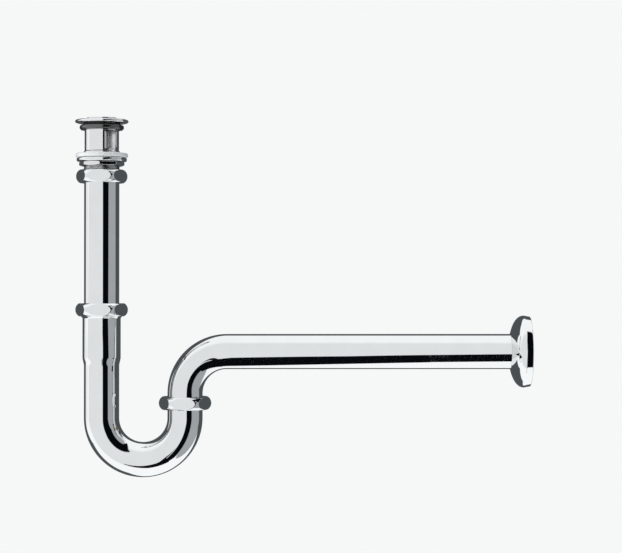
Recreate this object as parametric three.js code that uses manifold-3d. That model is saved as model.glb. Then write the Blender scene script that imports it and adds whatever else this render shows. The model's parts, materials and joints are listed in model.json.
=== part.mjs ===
// A 32 mm P trap for a washbasin: a push-open drain fitting with overflow windows, a tailpiece,
// a U bend, an outlet bend that runs to the wall, three slip-nut joints and a wall escutcheon.
//
// Millimetres, +Z up. The origin is on the axis of the drain, in the plane where the rim gasket
// rests on the basin. The outlet runs along +X to the wall, and -Y is the front.
// Threads are plain cylinders, and pieces that touch stand a small gap apart.

import * as THREE from "three";
import { mergeVertices } from "three/addons/utils/BufferGeometryUtils.js";
import Module from "manifold-3d";

const wasm = await Module();
wasm.setup();

// ---------------------------------------------------------------- driving dimensions

const GAP = 0.3; // between pieces that touch
const SLIP = 0.35; // radial room of a ring that slides or turns on a tube

const TUBE_R = 16; // outside radius of the 32 mm tubes
const TUBE_WALL = 1;
const BEND_R = 38.1; // centre line of both bends
const LEG_SPACING = 2 * BEND_R; // inlet axis to outlet axis of the U bend
const PIPE_Z = -202.2; // axis of the horizontal pipe
const TRAP_BEND_Z = -262.6; // where the U bend leaves its straight legs
const WALL_X = 390.8; // plane of the finished wall

const DRAIN_R = 15.65; // smooth body of the drain fitting
const DRAIN_BORE_R = 13.8;
const DRAIN_THREAD_R = 16.5;
const DRAIN_THREAD_TOP = -19; // start of the wider part that carries the thread
const FLANGE_R = 24.3;
const FLANGE_BOTTOM = 6;
const FLANGE_TOP = 9.2;
const WINDOW = { turn: 38, width: 15, top: -0.6, bottom: -17.8, corner: 2 }; // turn from the front

const TRAP_THREAD_R = 19; // thread of the slip-nut joints
const NUT_HEIGHT = 11.8;
const NUT_SHOULDER = 2; // thickness of the nut's closed end
const TOP_NUT = { radius: 23.4, flats: 41.8, z: -42.4 }; // z is the nut's middle
const MIDDLE_NUT = { radius: 23.9, flats: 43, z: -164.1 };
const LOWER_NUT = { radius: 23.9, flats: 43, z: -249.1 };

const BRIM_R = 18.3; // flared end of a tube, held by a slip nut
const BRIM = 1;
const FRICTION_WASHER = 0.6;
const FLAT_GASKET = 1.4;

const SOCKET_R = 17.35; // the U bend's wide mouth, which takes the tailpiece
const SOCKET_BORE_R = 16.5;
const SOCKET_BOTTOM = -209;
const TAPER = 4.8; // from the socket down to the tube
const TAILPIECE_BOTTOM = -203;

const ESCUTCHEON = { radius: 32.8, backRadius: 31.9, wall: 1.2, front: 373, rimStart: 385.2, holeR: 16.4 };
const DOME_FULLNESS = 2.2; // exponent of the escutcheon's curve, 2 for an ellipse

const PLUG_R = 13.6;
const BARREL_R = 6.2; // cartridge of the push-open plug
const BARREL_BORE_R = 5;
const SPIDER_TOP = -24.3;
const SPIDER_BOTTOM = -28.5;
const TAIL_R = 5; // threaded foot of the barrel
const TAIL_HOLE_R = TAIL_R + 0.3;

const SIDES = 24; // facets round a tube or ring
const SMALL_SIDES = 16;

// ---------------------------------------------------------------- materials

const metal = (color, roughness) => new THREE.MeshStandardMaterial({ color, roughness, metalness: 1 });
const dull = (color, roughness) => new THREE.MeshStandardMaterial({ color, roughness, metalness: 0 });

const chrome = metal(0xdfe3e4, 0.06);
const brass = metal(0xc2a261, 0.3);
const steel = metal(0xb9bcbd, 0.25);
const blackRubber = dull(0x1b1c1d, 0.75);
const whiteRubber = dull(0xd8dbdc, 0.6);
const nylon = dull(0xe7e4da, 0.5);

// ---------------------------------------------------------------- shape helpers

// A solid of revolution about Z. The profile holds [radius, z] pairs, counterclockwise, and is
// closed here unless it starts and ends on the axis.
function revolve(profile, sides = SIDES) {
  const points = profile.map(([r, z]) => new THREE.Vector2(r, z));
  const onAxis = profile[0][0] === 0 && profile.at(-1)[0] === 0;
  if (!onAxis) points.push(points[0].clone());
  return new THREE.LatheGeometry(points, sides).rotateX(Math.PI / 2);
}

// A plain ring between two radii and two heights.
function ring(innerR, outerR, bottom, top, sides = SIDES) {
  const profile = [[outerR, bottom], [outerR, top], [innerR, top], [innerR, bottom]];
  return revolve(profile, sides);
}

// A plain round disc.
function disc(radius, bottom, top, sides = SIDES) {
  return revolve([[0, bottom], [radius, bottom], [radius, top], [0, top]], sides);
}

// [radius, z] points round the outside of a ring whose edge is a half ellipse.
function roundedEdge(outerR, bulge, bottom, top, steps = 4) {
  const middle = (bottom + top) / 2;
  const half = (top - bottom) / 2;
  return Array.from({ length: steps + 1 }, (_, i) => {
    const angle = Math.PI * (i / steps - 0.5);
    return [outerR - bulge + bulge * Math.cos(angle), middle + half * Math.sin(angle)];
  });
}

// An upright prism with regular sides, by its size across flats. A corner points at -Y at turn 0.
function prism(count, acrossFlats, bottom, top, turn = 0) {
  const cornerR = acrossFlats / 2 / Math.cos(Math.PI / count);
  return new THREE.CylinderGeometry(cornerR, cornerR, top - bottom, count, 1, false, turn)
    .rotateX(Math.PI / 2)
    .translate(0, 0, (bottom + top) / 2);
}

function solid(geometry) {
  const bare = geometry.clone();
  bare.deleteAttribute("normal");
  bare.deleteAttribute("uv");
  const merged = mergeVertices(bare, 1e-4);
  const triVerts = new Uint32Array(merged.index.array);
  const vertProperties = merged.attributes.position.array;
  return new wasm.Manifold(new wasm.Mesh({ numProp: 3, vertProperties, triVerts }));
}

function geometryOf(body) {
  const { vertProperties, triVerts } = body.getMesh();
  const geometry = new THREE.BufferGeometry();
  geometry.setAttribute("position", new THREE.BufferAttribute(vertProperties, 3));
  geometry.setIndex(new THREE.BufferAttribute(triVerts, 1));
  geometry.computeVertexNormals();
  return geometry;
}

// A centre line in the XZ plane: a straight, an arc and a straight. Angles are in radians,
// from +X towards +Z, and a positive turn goes the same way. Returns the place and heading at s.
function onPath({ start, heading, lead, radius, turn }, s) {
  const arc = Math.abs(turn) * radius;
  const along = THREE.MathUtils.clamp(s - lead, 0, arc);
  const side = Math.sign(turn);
  const now = heading + (side * along) / radius;
  const straight = s - along;
  const before = Math.min(straight, lead);
  const after = straight - before;
  return {
    x:
      start[0] + before * Math.cos(heading) + after * Math.cos(now)
      + side * radius * (Math.sin(now) - Math.sin(heading)),
    z:
      start[1] + before * Math.sin(heading) + after * Math.sin(now)
      - side * radius * (Math.cos(now) - Math.cos(heading)),
    heading: now,
  };
}

// Wraps a straight tube, drawn along +Z from 0, round a centre line.
function bend(geometry, path) {
  const position = geometry.attributes.position;
  for (let i = 0; i < position.count; i++) {
    const { x, z, heading } = onPath(path, position.getZ(i));
    const across = position.getX(i);
    position.setX(i, x + across * Math.sin(heading));
    position.setZ(i, z - across * Math.cos(heading));
  }
  return geometry;
}

// Distances along a path where its arc needs a ring of points.
function arcStations({ lead, radius, turn }, steps) {
  return Array.from({ length: steps + 1 }, (_, i) => lead + (Math.abs(turn) * radius * i) / steps);
}

const part = new THREE.Group();

function add(name, geometry, material) {
  const mesh = new THREE.Mesh(geometry, material);
  mesh.name = name;
  part.add(mesh);
}

// ---------------------------------------------------------------- drain fitting

// Chrome flange and threaded tube in one casting, with two overflow windows and a spider inside.
function drainBody() {
  const bottom = TOP_NUT.z + GAP;
  const pocketR = PLUG_R + 0.5;
  const shell = solid(revolve([
    [DRAIN_THREAD_R, bottom],
    [DRAIN_THREAD_R, DRAIN_THREAD_TOP - 0.8],
    [DRAIN_R, DRAIN_THREAD_TOP],
    [DRAIN_R, FLANGE_BOTTOM],
    ...roundedEdge(FLANGE_R, 1.5, FLANGE_BOTTOM, FLANGE_TOP),
    [pocketR + 0.6, FLANGE_TOP + 0.3],
    [pocketR, FLANGE_TOP - 0.4],
    [pocketR, FLANGE_TOP - 2.1],
    [DRAIN_BORE_R, FLANGE_TOP - 2.6],
    [DRAIN_BORE_R, bottom],
  ]));

  const { width, top, bottom: sill, corner, turn } = WINDOW;
  const outline = roundedRectangle(width, top - sill, corner);
  const options = { depth: 4 * DRAIN_R, bevelEnabled: false, curveSegments: 3 };
  const cutter = new THREE.ExtrudeGeometry(outline, options)
    .translate(0, 0, -2 * DRAIN_R)
    .rotateX(Math.PI / 2)
    .rotateZ(THREE.MathUtils.degToRad(turn))
    .translate(0, 0, (top + sill) / 2);

  const armWidth = 3;
  const spiderHeight = SPIDER_TOP - SPIDER_BOTTOM;
  const spiderZ = (SPIDER_TOP + SPIDER_BOTTOM) / 2;
  const reach = 2 * DRAIN_BORE_R + 1;
  const arm = () => new THREE.BoxGeometry(reach, armWidth, spiderHeight).translate(0, 0, spiderZ);
  const hub = disc(7.4, SPIDER_BOTTOM, SPIDER_TOP, SMALL_SIDES);
  const tapping = disc(TAIL_HOLE_R, SPIDER_BOTTOM - 1, SPIDER_TOP + 1, SMALL_SIDES);

  return geometryOf(
    shell
      .subtract(solid(cutter))
      .add(solid(arm()))
      .add(solid(arm().rotateZ(Math.PI / 2)))
      .add(solid(hub))
      .subtract(solid(tapping)),
  );
}

function roundedRectangle(width, height, corner) {
  const x = width / 2;
  const y = height / 2;
  const shape = new THREE.Shape();
  shape.moveTo(corner - x, -y);
  shape.lineTo(x - corner, -y);
  shape.absarc(x - corner, corner - y, corner, -Math.PI / 2, 0);
  shape.lineTo(x, y - corner);
  shape.absarc(x - corner, y - corner, corner, 0, Math.PI / 2);
  shape.lineTo(corner - x, y);
  shape.absarc(corner - x, y - corner, corner, Math.PI / 2, Math.PI);
  shape.lineTo(-x, corner - y);
  shape.absarc(corner - x, corner - y, corner, Math.PI, 1.5 * Math.PI);
  return shape;
}

// Black rubber under the flange: a narrow neck above a round bead that rests on the basin.
function rimGasket() {
  const innerR = DRAIN_R + GAP;
  const neckR = 16.9;
  const beadTop = 4.2;
  return revolve([
    [innerR, 0],
    [19.2, 0],
    ...roundedEdge(20.2, 1.2, 0.5, beadTop),
    [neckR, beadTop],
    [neckR, FLANGE_BOTTOM - GAP],
    [innerR, FLANGE_BOTTOM - GAP],
  ]);
}

// The clamp under the basin: a pale gasket, a chrome washer and an octagonal nut.
const CLAMP_TOP = -21.3;
const UNDERSIDE_GASKET = 3.9;
const CLAMP_WASHER = 3.3;
const LOCK_NUT = { flats: 38.4, height: 3.8 };

function clampRing(outerR, bulge, top, thickness) {
  const innerR = DRAIN_THREAD_R + GAP;
  return revolve([
    [innerR, top - thickness],
    ...roundedEdge(outerR, bulge, top - thickness, top),
    [innerR, top],
  ]);
}

function lockNut(top) {
  const bottom = top - LOCK_NUT.height;
  const bore = solid(disc(DRAIN_THREAD_R + GAP, bottom - 1, top + 1));
  return geometryOf(solid(prism(8, LOCK_NUT.flats, bottom, top)).subtract(bore));
}

// Carries the drain's small thread inside and the trap's larger thread outside.
function threadAdapter() {
  return ring(DRAIN_THREAD_R + GAP, TRAP_THREAD_R, TOP_NUT.z + GAP, TOP_NUT.z + 5);
}

// ---------------------------------------------------------------- push-open plug

const CAP_BOTTOM = 7.8;
const STEM_R = 4;
const PIN_R = 2.5; // thin end of the stem, which carries the rotor
const ROTOR = { top: -4.8, bottom: -8.8 };
const BARREL_FLOOR = -22;

function plugCap() {
  const edgeTop = 10.8;
  const crown = 11.7;
  return revolve([
    [0, CAP_BOTTOM],
    [PLUG_R - 1, CAP_BOTTOM],
    [PLUG_R, CAP_BOTTOM + 0.8],
    [PLUG_R, edgeTop],
    [PLUG_R - 0.6, edgeTop + 0.4],
    [PLUG_R / 2, crown - 0.1],
    [0, crown],
  ]);
}

function plugSeal() {
  const bottom = 5;
  const top = CAP_BOTTOM - GAP;
  return revolve([
    [STEM_R + GAP, bottom],
    [12.4, bottom],
    [13.4, bottom + 1.4],
    [12.9, top],
    [STEM_R + GAP, top],
  ]);
}

function plugStem() {
  const top = CAP_BOTTOM - GAP;
  return revolve([
    [0, ROTOR.bottom - 3],
    [PIN_R, ROTOR.bottom - 3],
    [PIN_R, ROTOR.top + GAP],
    [STEM_R, ROTOR.top + GAP],
    [STEM_R, top],
    [0, top],
  ], SMALL_SIDES);
}

// Ratchet ring on the stem, with slots that drop over the barrel's ribs.
function clickRotor() {
  const { top, bottom } = ROTOR;
  let body = solid(ring(PIN_R + GAP, BARREL_BORE_R - GAP, bottom, top, SMALL_SIDES));
  const slots = 4;
  for (let i = 0; i < slots; i++) {
    const slot = new THREE.BoxGeometry(1.4, 1.2, 2.4)
      .translate(BARREL_BORE_R - GAP, 0, top)
      .rotateZ((i * 2 * Math.PI) / slots + Math.PI / 4);
    body = body.subtract(solid(slot));
  }
  return geometryOf(body);
}

function clickBarrel() {
  const tailBottom = SPIDER_BOTTOM - 6;
  const lipTop = 3;
  return revolve([
    [0, tailBottom],
    [TAIL_R, tailBottom],
    [TAIL_R, SPIDER_TOP + GAP],
    [BARREL_R, SPIDER_TOP + GAP],
    [BARREL_R, lipTop - 0.6],
    [BARREL_R - 0.6, lipTop],
    [STEM_R + GAP, lipTop],
    [STEM_R + GAP, lipTop - 1],
    [BARREL_BORE_R, lipTop - 1],
    [BARREL_BORE_R, BARREL_FLOOR],
    [0, BARREL_FLOOR],
  ], SMALL_SIDES);
}

class Helix extends THREE.Curve {
  constructor(radius, bottom, top, turns) {
    super();
    Object.assign(this, { radius, bottom, top, turns });
  }
  getPoint(t, target = new THREE.Vector3()) {
    const angle = t * this.turns * 2 * Math.PI;
    const z = THREE.MathUtils.lerp(this.bottom, this.top, t);
    return target.set(this.radius * Math.cos(angle), this.radius * Math.sin(angle), z);
  }
}

function clickSpring() {
  const wireR = 0.45;
  const bottom = BARREL_FLOOR + GAP + wireR;
  const top = ROTOR.bottom - GAP - wireR;
  const turns = 6;
  const wire = new THREE.Shape().absarc(0, 0, wireR, 0, 2 * Math.PI);
  const options = { steps: turns * 12, curveSegments: 6, bevelEnabled: false };
  return new THREE.ExtrudeGeometry(wire, { ...options, extrudePath: new Helix(3.7, bottom, top, turns) });
}

function spiderNut() {
  const top = SPIDER_BOTTOM - GAP;
  const bottom = top - 4;
  const bore = disc(TAIL_HOLE_R, bottom - 1, top + 1, SMALL_SIDES);
  return geometryOf(solid(prism(6, 15, bottom, top)).subtract(solid(bore)));
}

// ---------------------------------------------------------------- slip nuts

// A hexagon nut turned to a round bead, with a closed end that bears on a friction washer.
// shoulder is 1 when the closed end is at the top, and -1 at the bottom.
function slipNut({ radius, flats, z }, shoulder) {
  const half = NUT_HEIGHT / 2;
  const beadR = 6;
  const beadHalf = 6.6; // the bead is cut off a little short of its poles
  const steps = 6;
  const reach = Math.asin(half / beadHalf);
  const outside = Array.from({ length: steps + 1 }, (_, i) => {
    const angle = reach * ((2 * i) / steps - 1);
    return [radius - beadR + beadR * Math.cos(angle), beadHalf * Math.sin(angle)];
  });
  const threadR = TRAP_THREAD_R + GAP;
  const holeR = TUBE_R + SLIP;
  const step = half - NUT_SHOULDER;
  const inside = [[holeR, half], [holeR, step], [threadR, step], [threadR, -half]];
  const profile = [...outside, ...inside].map(([r, h]) => [r, h * shoulder + z]);
  if (shoulder < 0) profile.reverse();
  const blank = solid(revolve(profile));
  const turned = Math.PI / 6; // puts a flat, and not a corner, at the front
  return geometryOf(blank.intersect(solid(prism(6, flats, z - half - 1, z + half + 1, turned))));
}

// The stack inside a nut that holds a brim, from the nut's closed end inwards. Each entry is the
// [near, far] distance from the nut's outer face of the closed end.
const WASHER_AT = [NUT_SHOULDER + GAP, NUT_SHOULDER + GAP + FRICTION_WASHER];
const BRIM_AT = [WASHER_AT[1] + GAP, WASHER_AT[1] + GAP + BRIM];
const GASKET_AT = [BRIM_AT[1] + GAP, BRIM_AT[1] + GAP + FLAT_GASKET];

// Heights [bottom, top] of a stack entry in a nut, for either way up.
function stacked({ z }, shoulder, [near, far]) {
  const face = z + (shoulder * NUT_HEIGHT) / 2;
  const heights = [face - shoulder * near, face - shoulder * far];
  return heights.sort((a, b) => a - b);
}

function frictionWasher(nut, shoulder) {
  const [bottom, top] = stacked(nut, shoulder, WASHER_AT);
  return ring(TUBE_R + SLIP, BRIM_R + GAP, bottom, top);
}

function flatGasket(nut, shoulder) {
  const [bottom, top] = stacked(nut, shoulder, GASKET_AT);
  return ring(TUBE_R - TUBE_WALL, BRIM_R, bottom, top);
}

// ---------------------------------------------------------------- tubes

function tailpiece() {
  const [brimBottom, brimTop] = stacked(TOP_NUT, -1, BRIM_AT);
  const boreR = TUBE_R - TUBE_WALL;
  return revolve([
    [TUBE_R, TAILPIECE_BOTTOM],
    [TUBE_R, brimBottom],
    [BRIM_R, brimBottom],
    [BRIM_R, brimTop],
    [boreR, brimTop],
    [boreR, TAILPIECE_BOTTOM],
  ]);
}

// Rubber cone pressed into the mouth of the socket, round the tailpiece.
const CONE_TOP = MIDDLE_NUT.z + NUT_HEIGHT / 2 - WASHER_AT[1] - GAP;
const SOCKET_TOP = CONE_TOP - 2.3;

function coneGasket() {
  const innerR = TUBE_R + GAP;
  const lipBottom = SOCKET_TOP + GAP;
  return revolve([
    [innerR, SOCKET_TOP - 2.8],
    [16.7, SOCKET_TOP - 2.8],
    [17.4, lipBottom],
    [18.8, lipBottom],
    [18.8, CONE_TOP],
    [innerR, CONE_TOP],
  ]);
}

// Threaded mouth, socket, taper, inlet leg, 180 degree bend and outlet leg in one tube.
function trapBend() {
  const path = {
    start: [0, SOCKET_TOP],
    heading: -Math.PI / 2,
    lead: SOCKET_TOP - TRAP_BEND_Z,
    radius: BEND_R,
    turn: Math.PI,
  };
  const down = (z) => SOCKET_TOP - z;
  const threadBottom = MIDDLE_NUT.z - NUT_HEIGHT / 2 + 0.6;
  const outletTop = stacked(LOWER_NUT, 1, GASKET_AT)[0] - GAP;
  const arc = arcStations(path, 18);
  const end = arc.at(-1) + outletTop - TRAP_BEND_Z;
  const boreR = TUBE_R - TUBE_WALL;
  const outside = [
    [TRAP_THREAD_R, 0],
    [TRAP_THREAD_R, down(threadBottom)],
    [SOCKET_R, down(threadBottom) + 2.7],
    [SOCKET_R, down(SOCKET_BOTTOM)],
    [TUBE_R, down(SOCKET_BOTTOM) + TAPER],
    ...arc.map((s) => [TUBE_R, s]),
    [TUBE_R, end],
  ];
  const inside = [
    [17.9, 0],
    [SOCKET_BORE_R, 4.3],
    [SOCKET_BORE_R, down(SOCKET_BOTTOM)],
    [boreR, down(SOCKET_BOTTOM) + TAPER],
    ...arc.map((s) => [boreR, s]),
    [boreR, end],
  ];
  return bend(revolve([...outside, ...inside.reverse()]), path);
}

// Threaded collar brazed round the end of the outlet leg.
function outletThreadRing() {
  const top = stacked(LOWER_NUT, 1, GASKET_AT)[0] - GAP;
  return ring(TUBE_R + GAP, TRAP_THREAD_R, top - 5, top).translate(LEG_SPACING, 0, 0);
}

// Brim, short riser, 90 degree bend and the long pipe to the wall in one tube.
function outletBend() {
  const [brimBottom, brimTop] = stacked(LOWER_NUT, 1, BRIM_AT);
  const path = {
    start: [LEG_SPACING, brimBottom],
    heading: Math.PI / 2,
    lead: PIPE_Z - BEND_R - brimBottom,
    radius: BEND_R,
    turn: -Math.PI / 2,
  };
  const arc = arcStations(path, 9);
  const end = arc.at(-1) + WALL_X - 1 - LEG_SPACING - BEND_R;
  const boreR = TUBE_R - TUBE_WALL;
  const brim = brimTop - brimBottom;
  const outside = [
    [BRIM_R, 0],
    [BRIM_R, brim],
    [TUBE_R, brim],
    ...arc.map((s) => [TUBE_R, s]),
    [TUBE_R, end],
  ];
  const inside = [[boreR, 0], ...arc.map((s) => [boreR, s]), [boreR, end]];
  return bend(revolve([...outside, ...inside.reverse()]), path);
}

// Domed shell on the wall, drawn along +Z and laid over to +X.
function escutcheon() {
  const { radius, backRadius, wall, front, rimStart, holeR } = ESCUTCHEON;
  const rise = (r, rimR) => (1 - (r / rimR) ** DOME_FULLNESS) ** (1 / DOME_FULLNESS);
  const dome = (rimR, length, steps) =>
    Array.from({ length: steps + 1 }, (_, i) => {
      const r = i === steps ? rimR : holeR + (rimR - holeR) * Math.sin(((Math.PI / 2) * i) / steps);
      return [r, rimStart - (length * rise(r, rimR)) / rise(holeR, rimR)];
    });
  const outside = dome(radius, rimStart - front, 7);
  const inside = dome(radius - wall, rimStart - front - wall, 5);
  const profile = [
    ...inside.reverse(),
    ...outside,
    [backRadius, WALL_X - 0.4],
    [backRadius - 0.4, WALL_X],
    [backRadius - wall - 0.4, WALL_X],
    [backRadius - wall, WALL_X - 0.6],
  ];
  return revolve(profile, 32).rotateY(Math.PI / 2).translate(0, 0, PIPE_Z);
}

// ---------------------------------------------------------------- assembly

const washerTop = CLAMP_TOP - UNDERSIDE_GASKET - GAP;
const lockNutTop = washerTop - CLAMP_WASHER - GAP;

add("drain_body", drainBody(), chrome);
add("rim_gasket", rimGasket(), blackRubber);
add("underside_gasket", clampRing(23.9, 1.5, CLAMP_TOP, UNDERSIDE_GASKET), whiteRubber);
add("clamp_washer", clampRing(22.9, 1, washerTop, CLAMP_WASHER), chrome);
add("lock_nut", lockNut(lockNutTop), chrome);
add("thread_adapter", threadAdapter(), brass);

add("plug_cap", plugCap(), chrome);
add("plug_seal", plugSeal(), blackRubber);
add("plug_stem", plugStem(), brass);
add("click_rotor", clickRotor(), nylon);
add("click_barrel", clickBarrel(), chrome);
add("click_spring", clickSpring(), steel);
add("spider_nut", spiderNut(), brass);

add("top_slip_nut", slipNut(TOP_NUT, -1), chrome);
add("top_friction_washer", frictionWasher(TOP_NUT, -1), nylon);
add("top_flat_gasket", flatGasket(TOP_NUT, -1), blackRubber);
add("tailpiece", tailpiece(), chrome);

add("middle_slip_nut", slipNut(MIDDLE_NUT, 1), chrome);
add("middle_friction_washer", frictionWasher(MIDDLE_NUT, 1), nylon);
add("cone_gasket", coneGasket(), blackRubber);
add("trap_bend", trapBend(), chrome);

add("lower_slip_nut", slipNut(LOWER_NUT, 1).translate(LEG_SPACING, 0, 0), chrome);
add("lower_friction_washer", frictionWasher(LOWER_NUT, 1).translate(LEG_SPACING, 0, 0), nylon);
add("lower_flat_gasket", flatGasket(LOWER_NUT, 1).translate(LEG_SPACING, 0, 0), blackRubber);
add("outlet_thread_ring", outletThreadRing(), brass);
add("outlet_bend", outletBend(), chrome);
add("escutcheon", escutcheon(), chrome);

export default part;
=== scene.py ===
"""A chrome 32 mm P trap, dressed with fine meshes and procedural materials round its CAD frame.

Lengths inside this script are millimetres, scaled to metres where a mesh is made.
+X runs along the outlet to the wall, +Z up the drain, and -Y is the front.
"""

import json
import math

import bmesh
import bpy
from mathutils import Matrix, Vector


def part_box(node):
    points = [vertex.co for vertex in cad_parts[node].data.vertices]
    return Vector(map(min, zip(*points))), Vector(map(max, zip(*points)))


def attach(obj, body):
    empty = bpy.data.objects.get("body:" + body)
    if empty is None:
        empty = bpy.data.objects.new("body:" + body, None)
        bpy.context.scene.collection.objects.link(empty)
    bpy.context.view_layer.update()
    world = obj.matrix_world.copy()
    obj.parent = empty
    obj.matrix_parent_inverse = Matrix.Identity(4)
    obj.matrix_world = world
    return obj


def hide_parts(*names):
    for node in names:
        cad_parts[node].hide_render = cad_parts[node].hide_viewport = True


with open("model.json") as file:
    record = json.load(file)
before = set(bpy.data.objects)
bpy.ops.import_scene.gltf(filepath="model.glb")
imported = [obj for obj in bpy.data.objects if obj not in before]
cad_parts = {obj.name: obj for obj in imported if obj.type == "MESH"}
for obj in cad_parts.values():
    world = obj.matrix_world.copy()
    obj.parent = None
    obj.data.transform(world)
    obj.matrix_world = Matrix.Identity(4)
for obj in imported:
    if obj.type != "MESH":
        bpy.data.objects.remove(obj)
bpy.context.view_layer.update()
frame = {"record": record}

MM = 0.001
RECORD = frame["record"]
BODY_OF = {node: body for body, nodes in RECORD["behaviour"]["bodies"].items() for node in nodes}
SLOT_OF = {row["node"]: row["material_slot"] for row in RECORD["subparts"]}


def box(node):
    """Lowest and highest corner of a CAD node, in millimetres."""
    low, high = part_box(node)
    return low / MM, high / MM


# ---------------------------------------------------------------- driving dimensions

TUBE_R = 16.0
BORE_R = 15.0
BEND_R = 38.1  # to the centre line of the tube
DRAIN_R = 15.65
DRAIN_BORE_R = 13.8
DRAIN_THREAD_R = 16.5
TRAP_THREAD_R = 19.0  # outside of the threads that the slip nuts run on
THREAD_PITCH = 1.5
GAP = 0.3  # clearance round a tube or a thread

SPIDER_TOP = -24.3  # arms that hold the cartridge in the drain
SPIDER_BOTTOM = -28.5
BARREL_BORE_R = 5.0
BARREL_TAIL_R = 5.0
LEG_X = box("trap_bend")[1].x - TUBE_R  # axis of the trap's outlet leg
PIPE_Z = (box("escutcheon")[0].z + box("escutcheon")[1].z) / 2  # axis of the horizontal pipe

SIDES = 160  # facets round a ring
PIN_SIDES = 64
SMALL_SIDES = 96
TUBE_SIDES = 192
NUT_SIDES = 384
EDGE = 0.25  # radius that takes the sharpness off an edge


# ---------------------------------------------------------------- outlines

def fillet(outline, radius=EDGE, steps=4):
    """Rounds the corners of a closed [r, z] outline. Corners on the axis and soft ones stay."""
    rounded = []
    count = len(outline)
    for i, point in enumerate(outline):
        corner = Vector(point)
        back = Vector(outline[i - 1]) - corner
        ahead = Vector(outline[(i + 1) % count]) - corner
        opening = back.angle(ahead, math.pi)
        if corner.x < 1e-6 or opening > math.radians(160):
            rounded.append(tuple(corner))
            continue
        reach = min(radius / math.tan(opening / 2), 0.45 * back.length, 0.45 * ahead.length)
        arc_radius = reach * math.tan(opening / 2)
        bisector = (back.normalized() + ahead.normalized()).normalized()
        centre = corner + bisector * (arc_radius / math.sin(opening / 2))
        first = corner + back.normalized() * reach - centre
        last = corner + ahead.normalized() * reach - centre
        sweep = math.pi - opening
        for step in range(steps + 1):
            t = step / steps
            spoke = first * math.sin((1 - t) * sweep) + last * math.sin(t * sweep)
            rounded.append(tuple(centre + spoke / math.sin(sweep)))
    return rounded


def held(outline, hold=0.3):
    """Adds points close to both ends of each long straight, so that its shading stays straight."""
    result = []
    for i, point in enumerate(outline):
        start = Vector(point)
        end = Vector(outline[(i + 1) % len(outline)])
        result.append(tuple(start))
        span = end - start
        on_axis = start.x < 1e-6 and end.x < 1e-6
        if span.length > 3 * hold and not on_axis:
            step = span.normalized() * hold
            result.append(tuple(start + step))
            result.append(tuple(end - step))
    return result


def bead_edge(outer_r, bulge, bottom, top, steps=12):
    """[r, z] points round the outside of a ring whose edge is a half ellipse, going up."""
    middle = (bottom + top) / 2
    half = (top - bottom) / 2
    points = []
    for step in range(steps + 1):
        angle = math.pi * (step / steps - 0.5)
        points.append((outer_r - bulge + bulge * math.cos(angle), middle + half * math.sin(angle)))
    return points


def climb(radius, start, end, step=0.2):
    """[r, z] points along a straight wall, close enough together to carry a thread."""
    count = max(2, round(abs(end - start) / step))
    return [(radius, start + (end - start) * i / count) for i in range(count + 1)]


# ---------------------------------------------------------------- meshes

def lathe(name, outline, sides=SIDES):
    """A closed mesh of revolution about Z from [r, z] points."""
    vertices = []
    rings = []
    for r, z in outline:
        start = len(vertices)
        if r < 1e-6:
            vertices.append((0, 0, z))
            rings.append([start] * sides)
            continue
        for side in range(sides):
            angle = 2 * math.pi * side / sides - math.pi / 2
            vertices.append((r * math.cos(angle), r * math.sin(angle), z))
        rings.append(list(range(start, start + sides)))
    faces = []
    for low, high in zip(rings, rings[1:] + rings[:1]):
        for side in range(sides):
            after = (side + 1) % sides
            corners = [low[side], low[after], high[after], high[side]]
            unique = list(dict.fromkeys(corners))
            if len(unique) > 2:
                faces.append(unique)
    mesh = bpy.data.meshes.new(name)
    mesh.from_pydata([Vector(v) for v in vertices], [], faces)
    return mesh


def cut_thread(mesh, radius, bottom, top, depth=0.75, side=-1):
    """Sinks a right-handed helix into a mesh's wall at that radius. side is 1 for an inside wall."""
    fade = 1.0
    for vertex in mesh.vertices:
        x, y, z = vertex.co
        r = math.hypot(x, y)
        if abs(r - radius) > 0.02 or not bottom < z < top:
            continue
        turn = z / THREAD_PITCH - math.atan2(y, x) / (2 * math.pi)
        strength = min(1, (z - bottom) / fade, (top - z) / fade)
        r_new = r + side * depth * strength * (0.5 - 0.5 * math.cos(2 * math.pi * turn)) ** 1.5
        vertex.co.x = x * r_new / r
        vertex.co.y = y * r_new / r


def face_flats(mesh, count, flats, turn=0.0, softness=0.22):
    """Presses flat faces into a round blank. turn is the first face's bearing from -Y, in radians."""
    half_side = math.pi / count
    for vertex in mesh.vertices:
        x, y, _ = vertex.co
        r = math.hypot(x, y)
        if r < 0.8 * flats / 2:
            continue
        bearing = math.atan2(x, -y) - turn
        within = (bearing + half_side) % (2 * half_side) - half_side
        limit = flats / 2 / math.cos(within)
        nearness = max(softness - abs(r - limit), 0) / softness
        r_new = min(r, limit) - nearness * nearness * softness / 4
        vertex.co.x = x * r_new / r
        vertex.co.y = y * r_new / r


def shift(mesh, x):
    for vertex in mesh.vertices:
        vertex.co.x += x
    return mesh


class Path:
    """A centre line in the XZ plane: a straight, an arc and a straight. Headings from +X to +Z."""

    def __init__(self, start, heading, lead, turn):
        self.start = start
        self.heading = heading
        self.lead = lead
        self.turn = turn
        self.arc = abs(turn) * BEND_R

    def at(self, s):
        side = math.copysign(1, self.turn)
        along = min(max(s - self.lead, 0), self.arc)
        now = self.heading + side * along / BEND_R
        before = min(s - along, self.lead)
        after = s - along - before
        x = self.start[0] + before * math.cos(self.heading) + after * math.cos(now)
        z = self.start[1] + before * math.sin(self.heading) + after * math.sin(now)
        x += side * BEND_R * (math.sin(now) - math.sin(self.heading))
        z -= side * BEND_R * (math.cos(now) - math.cos(self.heading))
        return x, z, now

    def stations(self, steps):
        return [self.lead + self.arc * i / steps for i in range(steps + 1)]


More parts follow.
